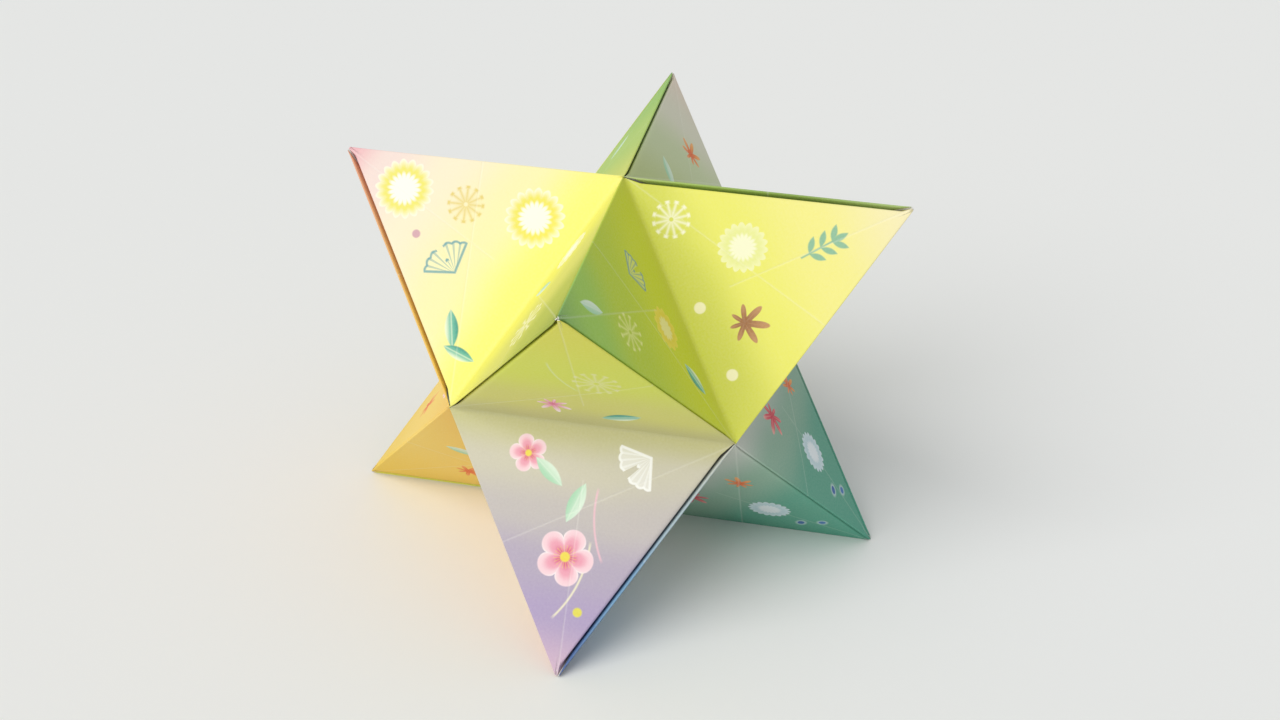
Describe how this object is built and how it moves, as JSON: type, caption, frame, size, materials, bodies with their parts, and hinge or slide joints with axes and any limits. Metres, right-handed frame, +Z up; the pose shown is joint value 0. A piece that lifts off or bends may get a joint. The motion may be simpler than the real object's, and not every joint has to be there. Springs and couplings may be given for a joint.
{
  "type": "modular origami star",
  "caption": "Star with tetrahedral points, folded from square papers and held together by tabs in pockets.",
  "frame": {"origin": "on the ground, below the middle of the star, between the points that it stands on", "axes": "+Z up; +X, +Y and +Z each go through an inner corner of the star"},
  "size_m": [0.1056, 0.1056, 0.1055],
  "materials": {
    "green_yellow_print": "printed uncoated",
    "grey_violet_print": "printed uncoated",
    "teal_blue_print": "printed uncoated",
    "gold_print": "printed uncoated"
  },
  "bodies": {
    "root": {"unit_back_left": "gold_print", "unit_back_right": "green_yellow_print", "unit_bottom_back": "grey_violet_print", "unit_bottom_front": "teal_blue_print", "unit_bottom_left": "gold_print", "unit_bottom_right": "teal_blue_print", "unit_front_left": "grey_violet_print", "unit_front_right": "teal_blue_print", "unit_top_back": "green_yellow_print", "unit_top_front": "green_yellow_print", "unit_top_left": "green_yellow_print", "unit_top_right": "grey_violet_print"}
  },
  "joints": []
}
